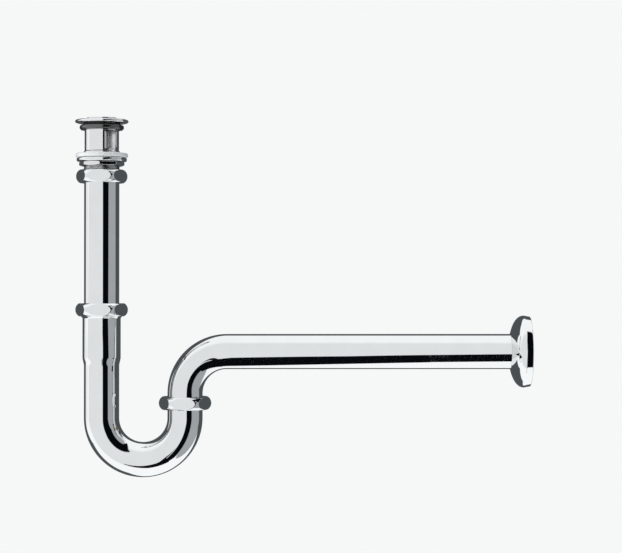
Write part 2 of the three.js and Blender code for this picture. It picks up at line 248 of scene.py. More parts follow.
def bend(mesh, path):
    """Wraps a straight tube, drawn along +Z from 0, round a path."""
    for vertex in mesh.vertices:
        x, z, heading = path.at(vertex.co.z)
        across = vertex.co.x
        vertex.co.x = x + across * math.sin(heading)
        vertex.co.z = z - across * math.cos(heading)
    return mesh


def block(name, size, centre):
    """A plain block, used only to cut and join."""
    half = Vector(size) / 2
    middle = Vector(centre)
    corners = []
    for x in (-half.x, half.x):
        for y in (-half.y, half.y):
            for z in (-half.z, half.z):
                corners.append(middle + Vector((x, y, z)))
    faces = [(0, 1, 3, 2), (4, 6, 7, 5), (0, 4, 5, 1), (2, 3, 7, 6), (0, 2, 6, 4), (1, 5, 7, 3)]
    mesh = bpy.data.meshes.new(name)
    mesh.from_pydata(corners, [], faces)
    return mesh


def outward(mesh):
    """Merges doubled points and turns every face outwards."""
    work = bmesh.new()
    work.from_mesh(mesh)
    bmesh.ops.remove_doubles(work, verts=work.verts, dist=1e-5)
    bmesh.ops.recalc_face_normals(work, faces=work.faces)
    work.to_mesh(mesh)
    work.free()
    return mesh


def combine(base, other, operation):
    """The mesh of base with other added or cut away."""
    objects = []
    for mesh in (base, other):
        obj = bpy.data.objects.new(mesh.name, outward(mesh))
        bpy.context.scene.collection.objects.link(obj)
        objects.append(obj)
    modifier = objects[0].modifiers.new("combine", "BOOLEAN")
    modifier.object = objects[1]
    modifier.operation = operation
    modifier.solver = "EXACT"
    graph = bpy.context.evaluated_depsgraph_get()
    result = bpy.data.meshes.new_from_object(objects[0].evaluated_get(graph))
    for obj in objects:
        bpy.data.objects.remove(obj)
    return result


def piece(node, mesh, crease=35):
    """Puts a fine mesh, drawn in millimetres, in the place of a CAD node."""
    outward(mesh)
    for vertex in mesh.vertices:
        vertex.co *= MM
    mesh.shade_smooth()
    mesh.set_sharp_from_angle(angle=math.radians(crease))
    mesh.materials.clear()
    mesh.materials.append(MATERIALS[SLOT_OF[node]])
    obj = bpy.data.objects.new("fine_" + node, mesh)
    bpy.context.scene.collection.objects.link(obj)
    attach(obj, BODY_OF[node])
    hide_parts(node)
    return obj


# ---------------------------------------------------------------- materials

class Nodes:
    """A small helper that adds and links nodes in one tree."""

    def __init__(self, tree):
        self.tree = tree

    def add(self, kind, **settings):
        node = self.tree.nodes.new(kind)
        for key, value in settings.items():
            setattr(node, key, value)
        return node

    def feed(self, socket, value):
        if isinstance(value, bpy.types.NodeSocket):
            self.tree.links.new(value, socket)
        else:
            socket.default_value = value

    def math(self, operation, first, second=0.0, clamp=False):
        node = self.add("ShaderNodeMath", operation=operation, use_clamp=clamp)
        self.feed(node.inputs[0], first)
        self.feed(node.inputs[1], second)
        return node.outputs[0]

    def noise(self, scale, detail=3.0, vector=None):
        node = self.add("ShaderNodeTexNoise")
        node.inputs["Scale"].default_value = scale
        node.inputs["Detail"].default_value = detail
        if vector is not None:
            self.feed(node.inputs["Vector"], vector)
        return node.outputs["Fac"]

    def span(self, value, low, high, from_low=0.3, from_high=0.7):
        node = self.add("ShaderNodeMapRange")
        self.feed(node.inputs["Value"], value)
        node.inputs["From Min"].default_value = from_low
        node.inputs["From Max"].default_value = from_high
        node.inputs["To Min"].default_value = low
        node.inputs["To Max"].default_value = high
        return node.outputs["Result"]

    def mix(self, factor, first, second):
        node = self.add("ShaderNodeMix", data_type="RGBA")
        self.feed(node.inputs["Factor"], factor)
        self.feed(node.inputs["A"], first)
        self.feed(node.inputs["B"], second)
        return node.outputs["Result"]

    def bump(self, height, strength, distance):
        node = self.add("ShaderNodeBump")
        node.inputs["Strength"].default_value = strength
        node.inputs["Distance"].default_value = distance
        self.feed(node.inputs["Height"], height)
        return node.outputs["Normal"]


def new_material(name):
    material = bpy.data.materials.new(name)
    material.use_nodes = True
    shader = material.node_tree.nodes["Principled BSDF"]
    nodes = Nodes(material.node_tree)
    place = nodes.add("ShaderNodeTexCoord").outputs["Object"]
    return material, shader, nodes, place


def grey(value, alpha=1.0):
    return (value, value, value, alpha)


def chrome():
    """Polished plate: a mirror with faint haze, wiping marks and a slight ripple."""
    material, shader, nodes, place = new_material("polished_chrome")
    shader.inputs["Metallic"].default_value = 1.0
    haze = nodes.noise(60.0, 4.0, place)
    tone = nodes.mix(nodes.span(haze, 0, 1), (0.81, 0.82, 0.822, 1), (0.845, 0.853, 0.855, 1))
    nodes.feed(shader.inputs["Base Color"], tone)
    stretch = nodes.add("ShaderNodeMapping")
    stretch.inputs["Scale"].default_value = (1.0, 1.0, 0.12)
    nodes.feed(stretch.inputs["Vector"], place)
    wiping = nodes.noise(1400.0, 2.0, stretch.outputs["Vector"])
    rough = nodes.math("ADD", nodes.span(haze, 0.02, 0.045), nodes.span(wiping, 0.0, 0.02, 0.55, 0.75))
    nodes.feed(shader.inputs["Roughness"], rough)
    ripple = nodes.noise(90.0, 2.0, place)
    nodes.feed(shader.inputs["Normal"], nodes.bump(ripple, 0.06, 0.00005))
    return material


def shaded_dull_thread():
    """Chrome on a cut thread, matt beside the polished parts, with its colour painted a darker speckled
    grey for the shade between the thread's flanks.
    """
    material, shader, nodes, place = new_material("shaded_dull_thread")
    shader.inputs["Metallic"].default_value = 1.0
    # painted shade: a darker speckled grey colour stands in for the shade between the thread's flanks; the
    # same noise also varies the roughness
    flank_shade_and_roughness = nodes.noise(300.0, 5.0, place)
    nodes.feed(shader.inputs["Base Color"], nodes.mix(nodes.span(flank_shade_and_roughness, 0, 1), grey(0.46), grey(0.70)))
    nodes.feed(shader.inputs["Roughness"], nodes.span(flank_shade_and_roughness, 0.16, 0.30))
    nodes.feed(shader.inputs["Normal"], nodes.bump(nodes.noise(1600.0, 3.0, place), 0.3, 0.00006))
    return material


def rubber(name, low, high, rough, gloss=1.5, grain=2500.0):
    """Moulded rubber: fine grain, a little bloom and uneven sheen."""
    material, shader, nodes, place = new_material(name)
    shader.inputs["IOR"].default_value = gloss
    bloom = nodes.noise(220.0, 5.0, place)
    nodes.feed(shader.inputs["Base Color"], nodes.mix(nodes.span(bloom, 0, 1), low, high))
    nodes.feed(shader.inputs["Roughness"], nodes.span(bloom, rough - 0.08, rough + 0.08))
    fine = nodes.noise(grain, 3.0, place)
    nodes.feed(shader.inputs["Normal"], nodes.bump(fine, 0.25, 0.00008))
    return material


def nylon():
    """Undyed nylon, cloudy and a little yellow."""
    material, shader, nodes, place = new_material("natural_nylon")
    cloud = nodes.noise(150.0, 4.0, place)
    tone = nodes.mix(nodes.span(cloud, 0, 1), (0.74, 0.71, 0.63, 1), (0.84, 0.82, 0.76, 1))
    nodes.feed(shader.inputs["Base Color"], tone)
    nodes.feed(shader.inputs["Roughness"], nodes.span(cloud, 0.38, 0.55))
    shader.inputs["Subsurface Weight"].default_value = 0.08
    nodes.feed(shader.inputs["Normal"], nodes.bump(nodes.noise(1800.0, 2.0, place), 0.15, 0.00005))
    return material


def turned_metal(name, low, high, rough):
    """Bare metal with the fine rings that a turning tool leaves along Z."""
    material, shader, nodes, place = new_material(name)
    shader.inputs["Metallic"].default_value = 1.0
    stain = nodes.noise(120.0, 5.0, place)
    nodes.feed(shader.inputs["Base Color"], nodes.mix(nodes.span(stain, 0, 1), low, high))
    nodes.feed(shader.inputs["Roughness"], nodes.span(stain, rough - 0.07, rough + 0.1))
    rings = nodes.add("ShaderNodeTexWave", bands_direction="Z")
    rings.inputs["Scale"].default_value = 900.0
    rings.inputs["Distortion"].default_value = 0.6
    nodes.feed(rings.inputs["Vector"], place)
    nodes.feed(shader.inputs["Normal"], nodes.bump(rings.outputs["Fac"], 0.2, 0.00004))
    return material


# the thread material, with painted flank shade in its colour
SHADED_DULL_THREAD = shaded_dull_thread()
SATIN_BORE = turned_metal("satin_bore", grey(0.72), grey(0.82), 0.32)
POLISHED_RUBBER = rubber("polished_rubber", grey(0.006), grey(0.016), 0.14, gloss=2.2)
MATERIALS = {
    "chrome": chrome(),
    "black_rubber": rubber("black_rubber", grey(0.004), grey(0.012), 0.6),
    "white_rubber": rubber(
        "pale_rubber", (0.80, 0.815, 0.82, 1), (0.86, 0.87, 0.875, 1), 0.25, gloss=1.8,
    ),
    "nylon": nylon(),
    "brass": turned_metal("turned_brass", (0.58, 0.42, 0.18, 1), (0.72, 0.55, 0.28, 1), 0.25),
    "spring_steel": turned_metal("spring_steel", grey(0.5), grey(0.62), 0.28),
}


# ---------------------------------------------------------------- drain fitting

def drain_body():
    """Flange, windowed tube, collar and threaded foot, with a spider for the cartridge inside."""
    low, high = box("drain_body")
    bottom = low.z
    flange_r = high.x
    underside_r = 21.5
    flange_bottom = 6.0
    flange_top = 9.2
    pocket_r = 14.1
    collar_top = -19.0
    thread_top = -22.0
    outline = fillet([
        (DRAIN_THREAD_R, bottom),
        (DRAIN_THREAD_R, collar_top - 0.8),
        (DRAIN_R, collar_top),
        (DRAIN_R, flange_bottom),
        (underside_r, flange_bottom),
        *bead_edge(flange_r, 1.5, flange_bottom + 0.4, flange_top),
        (pocket_r + 0.6, flange_top + 0.3),
        (pocket_r, flange_top - 0.4),
        (pocket_r, flange_top - 2.1),
        (DRAIN_BORE_R, flange_top - 2.6),
        (DRAIN_BORE_R, bottom),
    ])
    threaded = [p for p in outline if abs(p[0] - DRAIN_THREAD_R) < 1e-6]
    first, last = threaded[0][1], threaded[-1][1]
    at = outline.index(threaded[0])
    outline[at:at + len(threaded)] = climb(DRAIN_THREAD_R, first, last)
    mesh = lathe("drain_body", held(outline), TUBE_SIDES)
    cut_thread(mesh, DRAIN_THREAD_R, bottom + 0.2, thread_top)

    mesh = combine(mesh, window_cutter(), "DIFFERENCE")
    body = piece("drain_body", add_spider(mesh))
    # the threaded foot takes the thread material, whose darker colour is painted flank shade; the bore
    # takes the satin bore
    body.data.materials.append(SHADED_DULL_THREAD)
    body.data.materials.append(SATIN_BORE)
    for face in body.data.polygons:
        r = math.hypot(face.center.x, face.center.y)
        if r > (DRAIN_R - 0.2) * MM and face.center.z < thread_top * MM:
            face.material_index = 1
        elif r < (DRAIN_BORE_R + 0.1) * MM:
            face.material_index = 2
    return body


def add_spider(mesh):
    """The drain body with two crossed arms and the tapped hub for the cartridge."""
    arm_width = 3.0
    hub_r = 7.4
    tap_r = BARREL_TAIL_R + GAP
    height = SPIDER_TOP - SPIDER_BOTTOM
    centre = (0, 0, (SPIDER_TOP + SPIDER_BOTTOM) / 2)
    reach = 2 * DRAIN_BORE_R + 1
    mesh = combine(mesh, block("arm_x", (reach, arm_width, height), centre), "UNION")
    mesh = combine(mesh, block("arm_y", (arm_width, reach, height), centre), "UNION")
    hole_r = tap_r + 0.3
    low, high = SPIDER_BOTTOM - 1, SPIDER_TOP + 1
    hole = [(0, low), (hole_r, low), (hole_r, high), (0, high)]
    hub = [(tap_r, SPIDER_BOTTOM), (hub_r, SPIDER_BOTTOM), (hub_r, SPIDER_TOP), (tap_r, SPIDER_TOP)]
    mesh = combine(mesh, lathe("hole", hole, PIN_SIDES), "DIFFERENCE")
    return combine(mesh, lathe("hub", fillet(hub), PIN_SIDES), "UNION")


def window_cutter():
    """A bar with rounded corners that goes through both overflow windows."""
    width, top, sill, corner = 15.0, -0.6, -17.8, 2.0
    turn = math.radians(38)
    outline = []
    steps = 6
    for quarter, (sx, sz) in enumerate([(1, 1), (-1, 1), (-1, -1), (1, -1)]):
        for step in range(steps + 1):
            angle = math.pi / 2 * (quarter + step / steps)
            x = sx * (width / 2 - corner) + corner * math.cos(angle)
            z = (top + sill) / 2 + sz * ((top - sill) / 2 - corner) + corner * math.sin(angle)
            outline.append((x, z))
    reach = 2 * DRAIN_R
    vertices = []
    for y in (-reach, reach):
        for x, z in outline:
            turned_x = x * math.cos(turn) - y * math.sin(turn)
            turned_y = x * math.sin(turn) + y * math.cos(turn)
            vertices.append((turned_x, turned_y, z))
    count = len(outline)
    faces = [tuple(range(count)), tuple(range(2 * count - 1, count - 1, -1))]
    for i in range(count):
        after = (i + 1) % count
        faces.append((i, i + count, after + count, after))
    mesh = bpy.data.meshes.new("window_cutter")
    mesh.from_pydata([Vector(v) for v in vertices], [], faces)
    return mesh


def rim_gasket():
    """A polished bead that rests on the basin, and a matt neck up to the flange."""
    inner = DRAIN_R + GAP
    foot_r, bead_r, neck_r = 19.2, 20.2, 16.9
    bead_top = 4.2
    top = box("rim_gasket")[1].z
    outline = [
        (inner, 0),
        (foot_r, 0),
        *bead_edge(bead_r, 1.2, 0.4, bead_top),
        (neck_r, bead_top),
        (neck_r, top),
        (inner, top),
    ]
    gasket = piece("rim_gasket", lathe("rim_gasket", held(fillet(outline))), crease=50)
    gasket.data.materials.append(POLISHED_RUBBER)
    for face in gasket.data.polygons:
        face.material_index = 1 if face.center.z < bead_top * MM else 0
    return gasket


def clamp_ring(node, bulge):
    """A flat ring with a rounded edge on the drain's thread."""
    low, high = box(node)
    inner = DRAIN_THREAD_R + GAP
    outline = [(inner, low.z), *bead_edge(high.x, bulge, low.z, high.z), (inner, high.z)]
    return piece(node, lathe(node, held(fillet(outline))), crease=50)


def lock_nut():
    """An eight-sided nut with chamfered corners."""
    low, high = box("lock_nut")
    corner_r = (high.y - low.y) / 2
    sides = 8
    flats = 2 * corner_r * math.cos(math.pi / sides)
    bore = DRAIN_THREAD_R + GAP
    chamfer = 0.7
    outline = [
        (bore, low.z),
        (flats / 2 - 0.2, low.z),
        (corner_r, low.z + chamfer),
        *climb(corner_r, low.z + chamfer + 0.1, high.z - chamfer - 0.1, 0.3),
        (corner_r, high.z - chamfer),
        (flats / 2 - 0.2, high.z),
        (bore, high.z),
    ]
    mesh = lathe("lock_nut", held(outline), NUT_SIDES)
    face_flats(mesh, sides, flats, turn=math.pi / sides)
    return piece("lock_nut", mesh, crease=60)


def thread_adapter():
    """A brass ring between the drain's thread and the top slip nut, plated on its open face."""
    low, high = box("thread_adapter")
    inner = DRAIN_THREAD_R + GAP
    outline = [(inner, low.z), *climb(TRAP_THREAD_R, low.z, high.z), (inner, high.z)]
    mesh = lathe("thread_adapter", held(fillet(outline)))
    cut_thread(mesh, TRAP_THREAD_R, low.z + 0.2, high.z - 0.2)
    adapter = piece("thread_adapter", mesh)
    adapter.data.materials.append(MATERIALS["chrome"])
    for face in adapter.data.polygons:
        face.material_index = 1 if face.center.z > (high.z - 0.1) * MM else 0
    return adapter


# ---------------------------------------------------------------- push-open plug

def plug_cap():
    """A low disc with a crisp edge and a slightly crowned face."""
    low, high = box("plug_cap")
    edge = high.x
    crown = high.z
    edge_top = 11.1
    fullness = 2.4  # exponent of the crown's curve, 2 for a parabola
    outline = fillet([
        (0, low.z),
        (edge - 1, low.z),
        (edge, low.z + 0.8),
        (edge, edge_top),
        (edge - 0.9, edge_top),
    ])
    outline = [p for p in outline if p[0] > edge - 0.8 or p[1] < edge_top - 1]
    face_r = edge - 0.8
    steps = 16
    for step in range(steps + 1):
        r = face_r * (1 - step / steps)
        outline.append((r, crown - (crown - edge_top) * (r / face_r) ** fullness))
    return piece("plug_cap", lathe("plug_cap", outline), crease=50)


def turned(node, outline, sides=SIDES, crease=35):
    """A plain turned piece: an outline with softened corners, spun round the drain's axis."""
    return piece(node, lathe(node, held(fillet(outline)), sides), crease)


def plug_seal():
    low, high = box("plug_seal")
    inner = 4.3
    lip_r = 13.4
    return turned("plug_seal", [
        (inner, low.z), (lip_r - 1, low.z), (lip_r, low.z + 1.4), (lip_r - 0.5, high.z), (inner, high.z),
    ])


def plug_stem():
    low, high = box("plug_stem")
    shoulder = box("click_rotor")[1].z + GAP
    pin_r, stem_r = 2.5, 4.0
    return turned("plug_stem", [
        (0, low.z), (pin_r, low.z), (pin_r, shoulder), (stem_r, shoulder), (stem_r, high.z), (0, high.z),
    ], PIN_SIDES)


def click_barrel():
    """The cartridge: a threaded tail, a wider barrel and a lip round its mouth."""
    low, high = box("click_barrel")
    shoulder = SPIDER_TOP + GAP
    floor = -22.0
    barrel_r = 6.2
    mouth_r = 4.3
    outline = fillet([
        (0, low.z),
        (BARREL_TAIL_R, low.z),
        (BARREL_TAIL_R, shoulder),
        (barrel_r, shoulder),
        (barrel_r, high.z - 0.6),
        (barrel_r - 0.6, high.z),
        (mouth_r, high.z),
        (mouth_r, high.z - 1),
        (BARREL_BORE_R, high.z - 1),
        (BARREL_BORE_R, floor),
        (0, floor),
    ])
    return piece("click_barrel", lathe("click_barrel", held(outline), SMALL_SIDES))


def spider_nut():
    """A thin hexagonal nut on the cartridge's tail."""
    low, high = box("spider_nut")
    sides = 6
    flats = high.x - low.x
    corner_r = flats / math.sqrt(3)
    bore = BARREL_TAIL_R + GAP
    outline = [
        (bore, low.z),
        (flats / 2 - 0.2, low.z),
        (corner_r, low.z + 0.6),
        (corner_r, high.z - 0.6),
        (flats / 2 - 0.2, high.z),
        (bore, high.z),
    ]
    mesh = lathe("spider_nut", held(outline), 2 * SMALL_SIDES)
    face_flats(mesh, sides, flats, turn=math.pi / sides)
    return piece("spider_nut", mesh, crease=60)


def click_rotor():
    """Ratchet ring with four slots in its upper face."""
    low, high = box("click_rotor")
    bore, rim_r = 2.8, 4.7
    outline = [(bore, low.z), (rim_r, low.z), (rim_r, high.z), (bore, high.z)]
    mesh = lathe("click_rotor", held(fillet(outline)), SMALL_SIDES)
    slots = 4
    slot_size = (1.4, 1.2, 2.4)
    for slot in range(slots):
        angle = 2 * math.pi * slot / slots + math.pi / 4
        cutter = block("slot", slot_size, (rim_r, 0, high.z))
        for vertex in cutter.vertices:
            x, y, _ = vertex.co
            vertex.co.x = x * math.cos(angle) - y * math.sin(angle)
            vertex.co.y = x * math.sin(angle) + y * math.cos(angle)
        mesh = combine(mesh, cutter, "DIFFERENCE")
    return piece("click_rotor", mesh)


def click_spring():
    """The spring, a little shorter than its CAD node, so that the rotor can come down on it."""
    low, high = box("click_spring")
    room = 1.0
    wire = 0.45
    coil_r = 3.7
    turns = 6
    around, along = 12, 48 * turns
    bottom, top = low.z + wire, high.z - wire - room
    vertices = []
    for i in range(along + 1):
        t = i / along
        angle = 2 * math.pi * turns * t
        out = Vector((math.cos(angle), math.sin(angle), 0))
        centre = out * coil_r + Vector((0, 0, bottom + (top - bottom) * t))
        for j in range(around):
            spin = 2 * math.pi * j / around
            vertices.append(centre + out * (wire * math.cos(spin)) + Vector((0, 0, wire * math.sin(spin))))
    faces = [tuple(range(around)), tuple(range(len(vertices) - around, len(vertices)))]
    for i in range(along):
        for j in range(around):
            after = (j + 1) % around
            a, b = i * around, (i + 1) * around
            faces.append((a + j, a + after, b + after, b + j))
    mesh = bpy.data.meshes.new("click_spring")
    mesh.from_pydata(vertices, [], faces)
    return piece("click_spring", mesh)


# ---------------------------------------------------------------- slip-nut joints

NUT_FLATS = {"top_slip_nut": 41.8, "middle_slip_nut": 43.0, "lower_slip_nut": 43.0}
NUT_HOLE_R = TUBE_R + 0.35
WASHER_R = 18.6
GASKET_R = 18.3


def slip_nut(node, shoulder, x=0.0):
    """A round bead with six flats. shoulder is 1 with the closed end at the top, -1 at the bottom."""
    low, high = box(node)
    radius = (high.x - low.x) / 2
    half = (high.z - low.z) / 2
    middle = (low.z + high.z) / 2
    bead_r = 6.0
    bead_half = 6.6
    reach = math.asin(half / bead_half)
    steps = 40
    outside = []
    for step in range(steps + 1):
        angle = reach * (2 * step / steps - 1)
        outside.append((radius - bead_r + bead_r * math.cos(angle), bead_half * math.sin(angle)))
    bore = TRAP_THREAD_R + GAP
    step_z = half - 2.0
    inside = fillet([
        (NUT_HOLE_R, half),
        (NUT_HOLE_R, step_z),
        (bore, step_z),
        (bore, -half),
        (radius, -half),
        (radius, half),
    ])
    inside = [p for p in inside if p[0] < radius - 0.5]
    outline = [(r, h * shoulder + middle) for r, h in outside + inside]
    mesh = lathe(node, outline, NUT_SIDES)
    face_flats(mesh, 6, NUT_FLATS[node])
    return piece(node, shift(mesh, x), crease=50)


def flat_ring(node, inner, outer, x=0.0):
    """A flat washer or gasket inside a slip nut."""
    low, high = box(node)
    outline = [(inner, low.z), (outer, low.z), (outer, high.z), (inner, high.z)]
    mesh = lathe(node, held(fillet(outline, 0.15)))
    return piece(node, shift(mesh, x))


def cone_gasket():
    """A sleeve with a cone for the trap's mouth and a rim that the middle nut presses on."""
    low, high = box("cone_gasket")
    inner = TUBE_R + GAP
    lip = box("trap_bend")[1].z + GAP
    rim_r = 18.8
    return turned("cone_gasket", [
        (inner, low.z), (16.7, low.z), (17.4, lip), (rim_r, lip), (rim_r, high.z), (inner, high.z),
    ], crease=50)


def outlet_thread_ring():
    """The threaded ring round the top of the trap's outlet leg."""
    low, high = box("outlet_thread_ring")
    inner = TUBE_R + GAP
    outline = [(inner, low.z), *climb(TRAP_THREAD_R, low.z, high.z), (inner, high.z)]
    mesh = lathe("outlet_thread_ring", held(fillet(outline)))
    cut_thread(mesh, TRAP_THREAD_R, low.z + 0.2, high.z - 0.2)
    return piece("outlet_thread_ring", shift(mesh, LEG_X))


# ---------------------------------------------------------------- tubes

def tailpiece():
    """A straight tube with a brim that hangs in the top slip nut."""
    low, high = box("tailpiece")
    brim = 1.0
    return turned("tailpiece", [
        (TUBE_R, low.z),
        (TUBE_R, high.z - brim),
        (high.x, high.z - brim),
        (high.x, high.z),
        (BORE_R, high.z),
        (BORE_R, low.z),
    ], TUBE_SIDES)


def trap_bend():
    """Threaded mouth, socket, taper, inlet leg, 180 degree bend and outlet leg."""
    low, high = box("trap_bend")
    top = high.z  # distances along the tube start here
    bend_z = low.z + BEND_R + TUBE_R
    outlet_top = box("outlet_thread_ring")[1].z
    path = Path((0, top), -math.pi / 2, top - bend_z, math.pi)
    socket_r, socket_bore, mouth_bore = 17.35, 16.5, 17.9
    socket_bottom_z = -209.0
    socket_end = top - socket_bottom_z
    taper = 4.8
    thread_end = box("middle_slip_nut")[0].z + 0.6
    arc = path.stations(90)
    end = arc[-1] + outlet_top - bend_z
    outside = [
        *climb(TRAP_THREAD_R, 0.3, top - thread_end),
        *soft_step(TRAP_THREAD_R, socket_r, top - thread_end, 2.7),
        (socket_r, socket_end - 1.8),
        *soft_step(socket_r, TUBE_R, socket_end - 1.5, taper + 3.0),
        *[(TUBE_R, s) for s in arc],
        (TUBE_R, end - 0.3),
        (TUBE_R, end),
    ]
    inside = [
        (BORE_R, end),
        (BORE_R, end - 0.3),
        *[(BORE_R, s) for s in reversed(arc)],
        (BORE_R, socket_end + taper),
        (socket_bore, socket_end),
        (socket_bore, 4.3),
        (mouth_bore, 0),
        (TRAP_THREAD_R - 0.3, 0),
    ]
    mesh = lathe("trap_bend", outside + inside, TUBE_SIDES)
    cut_thread(mesh, TRAP_THREAD_R, 0.4, top - thread_end - 0.5, depth=0.6)
    return piece("trap_bend", bend(mesh, path))


def soft_step(first_r, second_r, start, length, steps=10):
    """An S-shaped change of radius."""
    points = []
    for step in range(steps + 1):
        t = step / steps
        ease = t * t * (3 - 2 * t)
        points.append((first_r + (second_r - first_r) * ease, start + length * t))
    return points


def outlet_bend():
    """Brim, riser, 90 degree bend and the pipe to the wall."""
    low, high = box("outlet_bend")
    start = low.z
    brim_r = LEG_X - low.x
    brim = 1.0
    path = Path((LEG_X, start), math.pi / 2, PIPE_Z - BEND_R - start, -math.pi / 2)
    arc = path.stations(48)
    end = arc[-1] + high.x - LEG_X - BEND_R
    rounded = fillet([
        (BORE_R, 0),
        (brim_r, 0),
        (brim_r, brim),
        (TUBE_R, brim),
        (TUBE_R, end),
        (BORE_R, end),
    ])
    brim_end = [p for p in rounded if p[1] < path.lead]
    wall_end = [p for p in rounded if p[1] > path.lead]
    outline = [
        *brim_end[1:],
        (TUBE_R, brim_end[-1][1] + 0.3),
        *[(TUBE_R, s) for s in arc],
        (TUBE_R, end - 0.6),
        *wall_end,
        (BORE_R, end - 0.6),
        *[(BORE_R, s) for s in reversed(arc)],
        (BORE_R, brim + 0.6),
        brim_end[0],
    ]
    mesh = lathe("outlet_bend", outline, TUBE_SIDES)
    return piece("outlet_bend", bend(mesh, path))


def escutcheon():
    """A domed shell with a turned rim, drawn along +Z and laid over to +X."""
    low, high = box("escutcheon")
    radius = (high.z - low.z) / 2
    back_r = radius - 0.9
    wall = 1.2
    hole = 16.4
    rim_start = 385.2
    depth = rim_start - low.x
    fullness = 2.2  # exponent of the dome's curve, 2 for an ellipse

    def dome(rim_r, length, steps=40):
        points = []
        for step in range(steps + 1):
            r = hole + (rim_r - hole) * math.sin(math.pi / 2 * step / steps)
            height = (1 - (r / rim_r) ** fullness) ** (1 / fullness)
            points.append((r, height))
        full = points[0][1]
        return [(r, rim_start - length * height / full) for r, height in points]

    inside = list(reversed(dome(radius - wall, depth - wall)))
    crisp = [(radius - 0.03, rim_start + 0.15)]  # keeps the dome's shading off the rim
    roll = rim_roll(back_r, high.x)
    roll_end = (back_r - wall, high.x - 0.6)
    outline = [*inside, *dome(radius, depth), *crisp, *roll, roll_end]
    mesh = lathe("escutcheon", outline, TUBE_SIDES)
    for vertex in mesh.vertices:
        x, y, z = vertex.co
        vertex.co = Vector((z, y, PIPE_Z - x))
    return piece("escutcheon", mesh, crease=20)


def rim_roll(radius, wall_x, steps=8):
    """The rounded lip of the escutcheon, up to the plane of the wall."""
    lip = 0.6
    points = [(radius + 0.1, wall_x - 1.2)]
    for step in range(steps + 1):
        angle = math.pi / 2 * step / steps
        points.append((radius - lip + lip * math.cos(angle), wall_x - lip + lip * math.sin(angle)))
    return points


# ---------------------------------------------------------------- assembly

drain_body()
rim_gasket()
clamp_ring("underside_gasket", 1.5)
clamp_ring("clamp_washer", 1.0)
lock_nut()
thread_adapter()

plug_cap()
plug_seal()
plug_stem()
click_rotor()
click_barrel()
click_spring()
spider_nut()

slip_nut("top_slip_nut", -1)
slip_nut("middle_slip_nut", 1)
slip_nut("lower_slip_nut", 1, x=LEG_X)
flat_ring("top_friction_washer", NUT_HOLE_R, WASHER_R)
flat_ring("middle_friction_washer", NUT_HOLE_R, WASHER_R)
flat_ring("lower_friction_washer", NUT_HOLE_R, WASHER_R, x=LEG_X)
flat_ring("top_flat_gasket", BORE_R, GASKET_R)
flat_ring("lower_flat_gasket", BORE_R, GASKET_R, x=LEG_X)
cone_gasket()
outlet_thread_ring()

tailpiece()
trap_bend()
outlet_bend()
escutcheon()


# ---------------------------------------------------------------- studio

PALE = (0.9216, 0.9387, 0.9387, 1)  # the backdrop
SHEET = (0.86, 0.882, 0.888, 1)  # pale wall at the front and left
BRIGHT = (1.06, 1.08, 1.085, 1)  # softbox overhead
UNDER = (1.10, 1.12, 1.125, 1)  # light table below
REAR = (0.94, 0.955, 0.96, 1)  # far end of the left wall
SIDE = (0.40, 0.42, 0.43, 1)  # grey wall on the right
BACK = (0.08, 0.09, 0.095, 1)  # dark end of the room, behind the object
FLAG = (0.002, 0.003, 0.004, 1)  # black flag right of the camera
DIFFUSE_BOOST = 1.35  # the room lights dull surfaces more than it shows in the chrome

# Edges of the things in the room, as [pitch, lean] points in degrees.
FLAG_LOW, FLAG_HIGH = -54, 86
FLAG_LEFT = [
    (FLAG_LOW, 11), (-7, 11), (-5, 13.5), (4, 13.5), (6, 11),
    (12, 9), (40, 9), (50, 15.5), (62, 20), (82, 27),
]
FLAG_RIGHT = [(FLAG_LOW, 27), (0, 51), (20, 54), (28, 56), (58, 32), (FLAG_HIGH, 31)]
SIDE_EDGE = [
    (-180, 71), (-140, 62), (-70, 32), (-50, 30), (0, 46), (50, 32), (75, 31), (130, 60), (180, 71),
]


